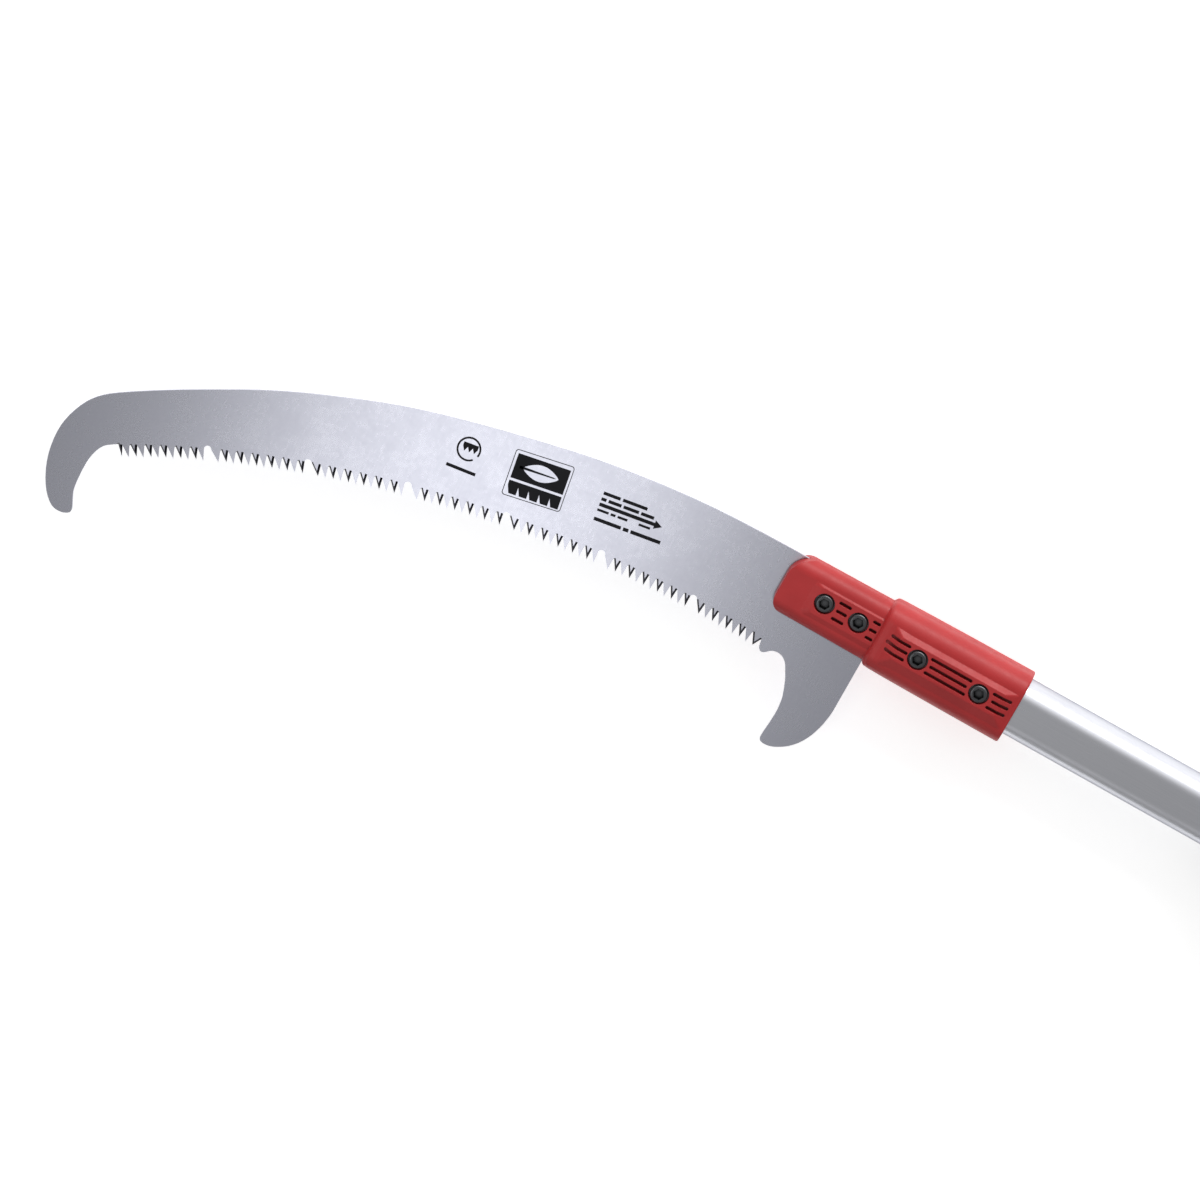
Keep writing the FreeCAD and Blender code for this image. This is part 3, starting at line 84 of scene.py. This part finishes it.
def noise(nt, vec, scale, detail=3.0, rough=0.5, dist=0.0):
    n = nt.nodes.new("ShaderNodeTexNoise")
    n.inputs["Scale"].default_value = scale
    n.inputs["Detail"].default_value = detail
    n.inputs["Roughness"].default_value = rough
    n.inputs["Distortion"].default_value = dist
    nt.links.new(vec, n.inputs["Vector"])
    return n.outputs["Fac"]


def voronoi(nt, vec, scale, feature="F1"):
    n = nt.nodes.new("ShaderNodeTexVoronoi")
    n.feature = feature
    n.inputs["Scale"].default_value = scale
    nt.links.new(vec, n.inputs["Vector"])
    return n.outputs["Distance"]


def ramp(nt, fac, stops):
    n = nt.nodes.new("ShaderNodeValToRGB")
    el = n.color_ramp.elements
    while len(el) < len(stops):
        el.new(0.5)
    for e, (p, c) in zip(el, stops):
        e.position = p
        e.color = (c, c, c, 1) if not hasattr(c, "__len__") else (*c, 1)
    nt.links.new(fac, n.inputs[0])
    return n.outputs[0]


def rng(nt, v, a, b, c, d, clamp=True):
    n = nt.nodes.new("ShaderNodeMapRange")
    n.clamp = clamp
    for i, x in enumerate((a, b, c, d)):
        n.inputs[i + 1].default_value = x
    nt.links.new(v, n.inputs[0])
    return n.outputs[0]


def math_(nt, op, a, b=None, c=None):
    n = nt.nodes.new("ShaderNodeMath")
    n.operation = op
    for i, x in enumerate((a, b, c)):
        if x is None:
            continue
        if isinstance(x, (int, float)):
            n.inputs[i].default_value = x
        else:
            nt.links.new(x, n.inputs[i])
    return n.outputs[0]


def mixc(nt, fac, a, b, mode="MIX"):
    n = nt.nodes.new("ShaderNodeMix")
    n.data_type = "RGBA"
    n.blend_type = mode
    for sock, x in ((n.inputs[0], fac), (n.inputs[6], a), (n.inputs[7], b)):
        if isinstance(x, (int, float)):
            sock.default_value = x
        elif hasattr(x, "__len__"):
            sock.default_value = (*x, 1) if len(x) == 3 else x
        else:
            nt.links.new(x, sock)
    return n.outputs[2]


def bump(nt, height, strength, dist, normal=None):
    n = nt.nodes.new("ShaderNodeBump")
    n.inputs["Strength"].default_value = strength
    n.inputs["Distance"].default_value = dist
    nt.links.new(height, n.inputs["Height"])
    if normal is not None:
        nt.links.new(normal, n.inputs["Normal"])
    return n.outputs[0]


def xyz(nt, vec):
    n = nt.nodes.new("ShaderNodeSeparateXYZ")
    nt.links.new(vec, n.inputs[0])
    return n.outputs


def painted_ao_shade(nt, col, reach, dark, shut=0.35, clear=0.85, own=True):
    """Painted shade: darkens a colour by ambient occlusion in grooves, sockets and next to other parts."""
    ao = nt.nodes.new("ShaderNodeAmbientOcclusion")
    ao.samples = 8
    ao.only_local = own
    ao.inputs["Distance"].default_value = reach / 1000.0
    k = rng(nt, ao.outputs["AO"], shut, clear, dark, 1.0)
    cb = nt.nodes.new("ShaderNodeCombineColor")
    for i in range(3):
        nt.links.new(k, cb.inputs[i])
    return mixc(nt, 1.0, col, cb.outputs[0], "MULTIPLY")


# ------------------------------------------------------------------ materials
def plastic(name, col, dark, rough=0.42, grain=1500.0, spec=0.5, coat=0.0, relief=0.00004, edge=0.0):
    m, nt, bs = material(name)
    v = coords(nt)
    big = noise(nt, v, 35, 4, 0.55)
    fine = noise(nt, v, grain, 2, 0.6)
    mid = noise(nt, v, grain / 7, 3, 0.6)
    c = mixc(nt, rng(nt, big, 0.35, 0.7, 0, 1), dark, col)
    if edge:
        # painted shade: ambient occlusion darkens the colour in grooves, slots and counterbores
        c = painted_ao_shade(nt, c, 2.4, 0.30)
    nt.links.new(c, bs.inputs["Base Color"])
    r = rng(nt, mid, 0.3, 0.7, rough - 0.05, rough + 0.06)
    nt.links.new(r, bs.inputs["Roughness"])
    h = math_(nt, "ADD", math_(nt, "MULTIPLY", fine, 0.7), math_(nt, "MULTIPLY", mid, 0.5))
    soft = None
    if edge:
        # moulded edges are broken by a small radius
        be = nt.nodes.new("ShaderNodeBevel")
        be.samples = 6
        be.inputs["Radius"].default_value = edge / 1000.0
        soft = be.outputs[0]
    nt.links.new(bump(nt, h, 0.55, relief, soft), bs.inputs["Normal"])
    bs.inputs["Specular IOR Level"].default_value = spec
    bs.inputs["Coat Weight"].default_value = coat
    bs.inputs["Coat Roughness"].default_value = 0.25
    return m


def metal(name, col, rough=0.35, brush=(1, 1, 1), grain=900.0, dark=None, metallic=1.0, relief=0.00002, deep=0.0):
    m, nt, bs = material(name)
    v = coords(nt)
    vb = mapping(nt, v, brush)
    n1 = noise(nt, vb, grain, 4, 0.65)
    n2 = noise(nt, v, 22, 4, 0.6)
    dk = dark or tuple(x * 0.8 for x in col)
    f = math_(nt, "ADD", math_(nt, "MULTIPLY", n1, 0.6), math_(nt, "MULTIPLY", n2, 0.4))
    tone = mixc(nt, rng(nt, f, 0.35, 0.65, 0, 1), dk, col)
    if deep:
        # painted shade: ambient occlusion darkens sockets and recesses nearly to black
        tone = painted_ao_shade(nt, tone, deep, 0.04, 0.45, 0.92)
    nt.links.new(tone, bs.inputs["Base Color"])
    nt.links.new(rng(nt, f, 0.3, 0.7, rough + 0.07, rough - 0.05), bs.inputs["Roughness"])
    nt.links.new(bump(nt, n1, 0.5, relief), bs.inputs["Normal"])
    bs.inputs["Metallic"].default_value = metallic
    return m


# edge also turns on painted shade in the grooves of the red, black and rubber mouldings
RED = plastic("red_nylon", (0.54, 0.029, 0.031), (0.47, 0.023, 0.025), rough=0.43, edge=0.7)
BLACK = plastic("black_nylon", (0.030, 0.030, 0.032), (0.020, 0.020, 0.022), rough=0.5, edge=0.6)
SHOE = plastic("shoe_nylon", (0.70, 0.69, 0.65), (0.62, 0.61, 0.57), rough=0.45)
RUBBER = plastic("grip_rubber", (0.040, 0.040, 0.041), (0.028, 0.028, 0.029), rough=0.68, grain=2600, relief=0.00006, edge=0.5)
# deep paints shade into the screw sockets
OXIDE = metal("black_steel", (0.125, 0.128, 0.135), rough=0.25, grain=1400, metallic=0.9, deep=2.6)
ZINC = metal("zinc_steel", (0.60, 0.61, 0.62), rough=0.33, grain=1200)
ANOD = metal("anodised", (0.83, 0.84, 0.89), rough=0.30, brush=(0.02, 1, 1), grain=1600, dark=(0.74, 0.75, 0.80))
# an anodised film dulls the metal's sheen at its edges
for n_ in ANOD.node_tree.nodes:
    if n_.type == "BSDF_PRINCIPLED":
        n_.inputs["Specular Tint"].default_value = (0.30, 0.30, 0.33, 1.0)


def blade_steel():
    m, nt, bs = material("saw_steel")
    v = coords(nt)
    # cross-ground finish: fine scratches across the blade's length, and faint mottling
    across = mapping(nt, v, (1.0, 0.07, 1.0), rot=(0, 0, math.radians(-20)))
    s1 = noise(nt, across, 1400, 3, 0.6)
    s2 = noise(nt, v, 55, 5, 0.62)
    s3 = noise(nt, v, 330, 3, 0.6)
    f = math_(nt, "ADD", math_(nt, "MULTIPLY", s1, 0.22), math_(nt, "ADD", math_(nt, "MULTIPLY", s2, 0.43), math_(nt, "MULTIPLY", s3, 0.35)))
    base = mixc(nt, rng(nt, f, 0.40, 0.60, 0, 1), (0.580, 0.588, 0.668), (0.618, 0.626, 0.703))
    # painted reflection: the tooth flanks, every face tilted out of the blade's plane and not upright to it, are
    # painted nearly black for the dark reflection they show
    g = nt.nodes.new("ShaderNodeNewGeometry")
    nz = math_(nt, "ABSOLUTE", xyz(nt, g.outputs["True Normal"])[2])
    painted_flank_mask = math_(nt, "MULTIPLY", math_(nt, "GREATER_THAN", nz, 0.3), math_(nt, "LESS_THAN", nz, 0.93))
    col = mixc(nt, painted_flank_mask, base, (0.020, 0.020, 0.026))
    # painted shade: a dark contact line on the blade where the head meets it
    col = painted_ao_shade(nt, col, 1.5, 0.22, 0.50, 0.93, own=False)
    nt.links.new(col, bs.inputs["Base Color"])
    nt.links.new(rng(nt, f, 0.35, 0.65, 0.295, 0.26), bs.inputs["Roughness"])
    nt.links.new(bump(nt, s1, 0.12, 0.00002), bs.inputs["Normal"])
    bs.inputs["Metallic"].default_value = 1.0
    return m


STEEL = blade_steel()
INK = plastic("print_ink", (0.012, 0.012, 0.015), (0.008, 0.008, 0.010), rough=0.62, grain=1800, spec=0.2, relief=0.00001)
SLOT_MAT = {"saw_steel": STEEL, "red_nylon": RED, "black_steel": OXIDE, "zinc_steel": ZINC, "anodised": ANOD,
            "black_nylon": BLACK, "shoe_nylon": SHOE, "grip_rubber": RUBBER}
node_slot = {s["node"]: s["material_slot"] for s in rec["subparts"]}
for name, ob in nodes.items():
    mat = SLOT_MAT[node_slot[name]]
    for i in range(len(ob.material_slots)):
        ob.material_slots[i].material = mat
    if not ob.material_slots:
        ob.data.materials.append(mat)


# ------------------------------------------------------------------ mesh helpers
def new_object(name, bm_or_data, mat, smooth=True, angle=35):
    me = bpy.data.meshes.new(name)
    bm_or_data.normal_update()
    bmesh.ops.recalc_face_normals(bm_or_data, faces=bm_or_data.faces)
    bm_or_data.to_mesh(me)
    bm_or_data.free()
    ob = bpy.data.objects.new(name, me)
    bpy.context.scene.collection.objects.link(ob)
    me.materials.append(mat)
    if smooth:
        for p in me.polygons:
            p.use_smooth = True
        me.set_sharp_from_angle(angle=math.radians(angle))
    return ob


def oval(hh, ht, n=28):
    """Points of an oval section, anticlockwise in Y, Z (mm)."""
    c = hh - ht
    pts = []
    for i in range(n + 1):
        a = -math.pi / 2 + math.pi * i / n
        pts.append((c + ht * math.cos(a), ht * math.sin(a)))
    for i in range(n + 1):
        a = math.pi / 2 + math.pi * i / n
        pts.append((-c + ht * math.cos(a), ht * math.sin(a)))
    return pts


def skin(rings, closed_loop=True):
    """Bridges rings of equal point count; closed_loop joins the last ring to the first."""
    bm = bmesh.new()
    V_ = [[bm.verts.new(p) for p in r] for r in rings]
    n = len(rings[0])
    m = len(rings)
    for i in range(m if closed_loop else m - 1):
        a, b = V_[i], V_[(i + 1) % m]
        for j in range(n):
            bm.faces.new((a[j], a[(j + 1) % n], b[(j + 1) % n], b[j]))
    return bm, V_


def ring(x, hh, ht, n=28):
    return [W(x, y, z) for y, z in oval(hh, ht, n)]


def tube_piece(name, x0, x1, hh, ht, wall, mat, body, node, step=40.0):
    """A drawn oval tube with lightly broken edges at both ends."""
    e = 0.35
    rings = [ring(x0, hh - e, ht - e)]
    xs = [x0 + e] + list(np.arange(x0 + step, x1 - step / 2, step)) + [x1 - e]
    for x in xs:
        rings.append(ring(x, hh, ht))
    rings.append(ring(x1, hh - e, ht - e))
    rings.append(ring(x1, hh - wall, ht - wall))
    rings.append(ring(x0, hh - wall, ht - wall))
    bm, _ = skin(rings)
    ob = new_object(name, bm, mat)
    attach(ob, body)
    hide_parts(node)
    return ob


lo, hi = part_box("inner_tube")
tube_piece("inner_tube_skin", -128.0, 1343.0, 18.0, 12.5, 1.5, ANOD, "pole_inner", "inner_tube")
tube_piece("middle_tube_skin", 110.0, 1480.0, 20.1, 14.6, 1.5, ANOD, "pole_middle", "middle_tube")
tube_piece("outer_tube_skin", 206.0, 1560.0, 22.2, 16.7, 1.5, ANOD, "pole_outer", "outer_tube")


# ------------------------------------------------------------------ hand grip and butt cap
def turned(name, profile, hh, ht, bore, floor_x, mat, body, node):
    """An oval moulding from outside stations (x, set-in), with an oval bore; floor_x closes the bore."""
    rings = [ring(x, hh - d, ht - d) for x, d in profile]
    x0, x1 = profile[0][0], profile[-1][0]
    bh, bt = bore
    if floor_x is None:
        rings += [ring(x1, bh, bt), ring(x0, bh, bt)]
        bm, _ = skin(rings)
    else:
        rings = [ring(floor_x, bh, bt), ring(x0, bh, bt)] + rings
        bm, V_ = skin(rings, closed_loop=False)
        bm.faces.new(V_[0])
        bm.faces.new(V_[-1])
    ob = new_object(name, bm, mat, angle=40)
    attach(ob, body)
    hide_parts(node)
    return ob


prof = [(1180.0, 0.9), (1180.3, 0.35), (1180.9, 0.0), (1188.4, 0.0), (1189.2, 0.25), (1189.8, 0.9)]
x = 1191.0
while x < 1489.0:
    prof += [(x, 1.45), (x + 0.35, 1.05), (x + 0.9, 0.5), (x + 2.2, 0.28), (x + 4.4, 0.22), (x + 6.6, 0.28), (x + 7.3, 0.5), (x + 7.85, 1.05), (x + 8.2, 1.45)]
    x += 9.1
prof += [(1490.6, 0.9), (1491.2, 0.25), (1492.0, 0.0), (1499.1, 0.0), (1499.7, 0.35), (1500.0, 0.9)]
turned("hand_grip_ribbed", prof, 24.5, 19.0, (22.25, 16.75), None, RUBBER, "pole_outer", "hand_grip")

prof = [(1528.0, 0.9), (1528.3, 0.3), (1529.0, 0.0), (1534.0, 0.0), (1534.5, 0.2), (1534.9, 0.9), (1536.3, 0.9), (1536.7, 0.2), (1537.2, 0.0),
        (1540.0, 0.0), (1540.5, 0.2), (1540.9, 0.9), (1542.3, 0.9), (1542.7, 0.2), (1543.2, 0.0)]
for i in range(0, 9):
    a = math.pi / 2 * i / 8
    prof.append((1561.5 + 4.5 * math.sin(a), 4.5 * (1 - math.cos(a))))
turned("butt_cap_turned", prof, 26.4, 21.0, (22.25, 16.75), 1560.05, RUBBER, "pole_outer", "end_cap")


# ------------------------------------------------------------------ printed marks on the blade
BLADE_TOP = 0.8


def printed(name, loops, lift=0.004, thick=0.02):
    """Flat ink shapes; each loop is a list of x, y in mm, and a loop inside another is a gap in it."""
    cu = bpy.data.curves.new(name, "CURVE")
    cu.dimensions = "2D"
    cu.fill_mode = "BOTH"
    cu.extrude = 1.0
    for loop in loops:
        sp = cu.splines.new("POLY")
        sp.points.add(len(loop) - 1)
        for q, (x, y) in zip(sp.points, loop):
            q.co = (x, y, 0, 1)
        sp.use_cyclic_u = True
    tmp = bpy.data.objects.new(name + "_line", cu)
    bpy.context.scene.collection.objects.link(tmp)
    deps = bpy.context.evaluated_depsgraph_get()
    me = bpy.data.meshes.new_from_object(tmp.evaluated_get(deps))
    bpy.data.objects.remove(tmp, do_unlink=True)
    bm = bmesh.new()
    bm.from_mesh(me)
    bmesh.ops.remove_doubles(bm, verts=bm.verts, dist=1e-4)
    z0 = BLADE_TOP + lift
    for v in bm.verts:
        v.co = W(v.co.x, v.co.y, z0 if v.co.z < 0 else z0 + thick)
    ob = new_object(name, bm, INK, smooth=False)
    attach(ob, "pole_inner")
    return ob


def ST(s, t):
    """Position along the pole and down across the blade, on its upper face."""
    return (s + 1.0, (-t + BLADE_TOP * 0.309) / 0.951)


def circle(cx, cy, r, n=48, a0=0.0, a1=2 * math.pi):
    return [(cx + r * math.cos(a0 + (a1 - a0) * i / n), cy + r * math.sin(a0 + (a1 - a0) * i / n)) for i in range(n)]


def frame_of(origin, right_to, down_to):
    """A little local grid: u runs right, v runs down."""
    o, r, d = (Vector(ST(*q)) for q in (origin, right_to, down_to))
    ex, ey = r - o, d - o
    return lambda u, v: tuple(o + ex * u + ey * v)


def block(g, u0, v0, u1, v1, r=0.0):
    return [g(u0, v0), g(u1, v0), g(u1, v1), g(u0, v1)]


def rounded(g, u0, v0, u1, v1, ru, rv, n=6):
    pts = []
    for cu, cv, a0 in ((u1 - ru, v0 + rv, -90), (u1 - ru, v1 - rv, 0), (u0 + ru, v1 - rv, 90), (u0 + ru, v0 + rv, 180)):
        for i in range(n + 1):
            a = math.radians(a0 + 90 * i / n)
            pts.append(g(cu + ru * math.cos(a), cv + rv * math.sin(a)))
    return pts


# a plain ring with three saw teeth in it
cx, cy = ST(-398.5, 25.2)
gap = math.radians(-28)
outer = [(cx + 7.1 * math.cos(gap + 0.25 + (2 * math.pi - 0.5) * i / 60), cy + 7.4 * math.sin(gap + 0.25 + (2 * math.pi - 0.5) * i / 60)) for i in range(61)]
inner = [(cx + 6.0 * math.cos(gap + 0.25 + (2 * math.pi - 0.5) * i / 60), cy + 6.25 * math.sin(gap + 0.25 + (2 * math.pi - 0.5) * i / 60)) for i in range(60, -1, -1)]
printed("mark_ring", [outer + inner])
gr = frame_of((-402.9, 22.6), (-394.1, 21.2), (-402.0, 27.6))
zig = [gr(0, 0), gr(1, 0), gr(1, 0.45), gr(0.83, 1.0), gr(0.67, 0.45), gr(0.5, 1.0), gr(0.33, 0.45), gr(0.17, 1.0), gr(0, 0.45)]
printed("mark_ring_teeth", [zig])

# a framed block: a leaf above, a row of teeth below
gf = frame_of((-374.9, 11.6), (-340.6, 4.7), (-370.3, 38.4))
printed("mark_frame", [rounded(gf, 0.0, 0.0, 1.0, 1.0, 0.05, 0.06), rounded(gf, 0.012, 0.016, 0.988, 0.984, 0.042, 0.05)[::-1]])
gb = frame_of((-372.6, 13.3), (-341.7, 7.6), (-368.7, 36.4))
leaf = []
for i in range(25):
    w = i / 24.0
    leaf.append(gb(0.16 + 0.68 * w, 0.31 - 0.20 * math.sin(math.pi * w) ** 0.8))
for i in range(23, 0, -1):
    w = i / 24.0
    leaf.append(gb(0.16 + 0.68 * w, 0.31 + 0.20 * math.sin(math.pi * w) ** 0.8))
printed("mark_block", [block(gb, 0.0, 0.0, 1.0, 0.62), leaf])
rib = [gb(0.10, 0.345), gb(0.74, 0.325), gb(0.80, 0.31), gb(0.74, 0.295), gb(0.10, 0.275)]
printed("mark_leaf_rib", [rib])
saw = [gb(0.0, 0.68), gb(1.0, 0.68)]
for i in range(5):
    saw += [gb(1.0 - 0.2 * i, 1.0), gb(1.0 - 0.2 * i - 0.14, 1.0), gb(1.0 - 0.2 * i - 0.2 + 0.001, 0.80)]
printed("mark_block_teeth", [saw])

# the pull direction arrow, with plain bars above and below it
ga = frame_of((-318.5, 16.2), (-281.0, 10.4), (-317.8, 21.2))
printed("mark_arrow", [[ga(0, -0.20), ga(0.88, -0.20), ga(0.88, -0.50), ga(1.0, 0.0), ga(0.88, 0.50), ga(0.88, 0.20), ga(0, 0.20)]])
for k, (v0, v1, runs) in enumerate((
        (-1.52, -1.16, ((0.0, 0.27), (0.31, 0.70))),
        (-0.82, -0.46, ((0.0, 0.08), (0.115, 0.32), (0.355, 0.60), (0.635, 0.84))),
        (0.50, 0.78, ((0.0, 0.18), (0.215, 0.29), (0.325, 0.48))),
        (0.48, 0.74, ((0.66, 0.84),)),
        (1.50, 1.90, ((0.0, 0.43), (0.465, 0.55), (0.585, 1.06))))):
    for j, (a, b) in enumerate(runs):
        printed("mark_bar_%d_%d" % (k, j), [block(ga, a, v0, b, v1)])
# one short bar under the ring
gt = frame_of((-406.0, 37.6), (-388.4, 35.3), (-405.6, 40.4))
printed("mark_bar_ring", [block(gt, 0.0, 0.05, 1.0, 0.70)])

# ------------------------------------------------------------------ stage
def plane_floor():
    bm = bmesh.new()
    s = 14.0
    vs = [bm.verts.new((x, y, -0.0005)) for x, y in ((-s, -s), (s, -s), (s, s), (-s, s))]
    bm.faces.new(vs)
    m, nt, bs = material("floor_paint")
    v = coords(nt)
    n = noise(nt, v, 3.0, 3)
    nt.links.new(mixc(nt, n, (0.74, 0.74, 0.74), (0.76, 0.76, 0.76)), bs.inputs["Base Color"])
    bs.inputs["Roughness"].default_value = 0.9
    bs.inputs["Specular IOR Level"].default_value = 0.1
    bs.inputs["Emission Color"].default_value = (1, 1, 1, 1)
    bs.inputs["Emission Strength"].default_value = 0.64
    me = bpy.data.meshes.new("floor")
    bm.to_mesh(me); bm.free()
    ob = bpy.data.objects.new("floor", me)
    bpy.context.scene.collection.objects.link(ob)
    me.materials.append(m)
    return ob


plane_floor()

bpy.context.scene.view_settings.view_transform = "Standard"
world = bpy.data.worlds.new("studio")
bpy.context.scene.world = world
world.use_nodes = True
wt = world.node_tree
bg = wt.nodes.get("Background")
wc = wt.nodes.new("ShaderNodeTexCoord")
wd = xyz(wt, wc.outputs["Generated"])
# a bright side wall behind the spine (+Y), a darker room over and in front of the saw
side = rng(wt, wd[1], 0.25, 0.58, 0.40, 1.15)
over = rng(wt, wd[2], -0.2, 0.4, 0.5, 1.0)
lit = math_(wt, "MULTIPLY", side, over)
cc = wt.nodes.new("ShaderNodeCombineColor")
for i in range(3):
    wt.links.new(lit, cc.inputs[i])
wt.links.new(cc.outputs[0], bg.inputs[0])
bg.inputs[1].default_value = 0.80

# ------------------------------------------------------------------ camera
TH, PHI = math.radians(29.3), math.radians(18.0)
Xd = Vector((1, 0, 0))
Ud = Vector((0, math.cos(PHI), -math.sin(PHI)))
Nd = Vector((0, math.sin(PHI), math.cos(PHI)))
right = Xd * math.cos(TH) + Ud * math.sin(TH)
up = -Xd * math.sin(TH) + Ud * math.cos(TH)
target = W(-290.5, -63.6 / 0.951, 0)
DIST = 6.0
cam_data = bpy.data.cameras.new("camera")
cam = bpy.data.objects.new("camera", cam_data)
bpy.context.scene.collection.objects.link(cam)
R = Matrix((right, up, Nd)).transposed().to_4x4()
cam.matrix_world = Matrix.Translation(target + Nd * DIST) @ R
cam_data.sensor_width = 36.0
cam_data.lens = 36.0 * DIST / 0.684
cam_data.clip_start = 0.05
cam_data.clip_end = 50
bpy.context.scene.camera = cam


def area(name, loc, look, size, power, col=(1, 1, 1)):
    d = bpy.data.lights.new(name, "AREA")
    d.shape = "RECTANGLE"
    d.size, d.size_y = size
    d.energy = power
    d.color = col
    o = bpy.data.objects.new(name, d)
    bpy.context.scene.collection.objects.link(o)
    o.location = loc
    o.rotation_euler = (Vector(look) - Vector(loc)).to_track_quat("-Z", "Y").to_euler()
    return o


mid = W(-300, 0, 0)
area("key", mid + Vector((0.10, 2.3, 1.10)), mid, (2.6, 0.8), 30)
area("fill", mid + Vector((-0.2, -2.2, 1.6)), mid, (2.0, 0.8), 1.0)
area("glow", W(-392, -20 - 0.309 * 750, 0.951 * 750), W(-392, -20, 0), (0.26, 0.30), 0.375)
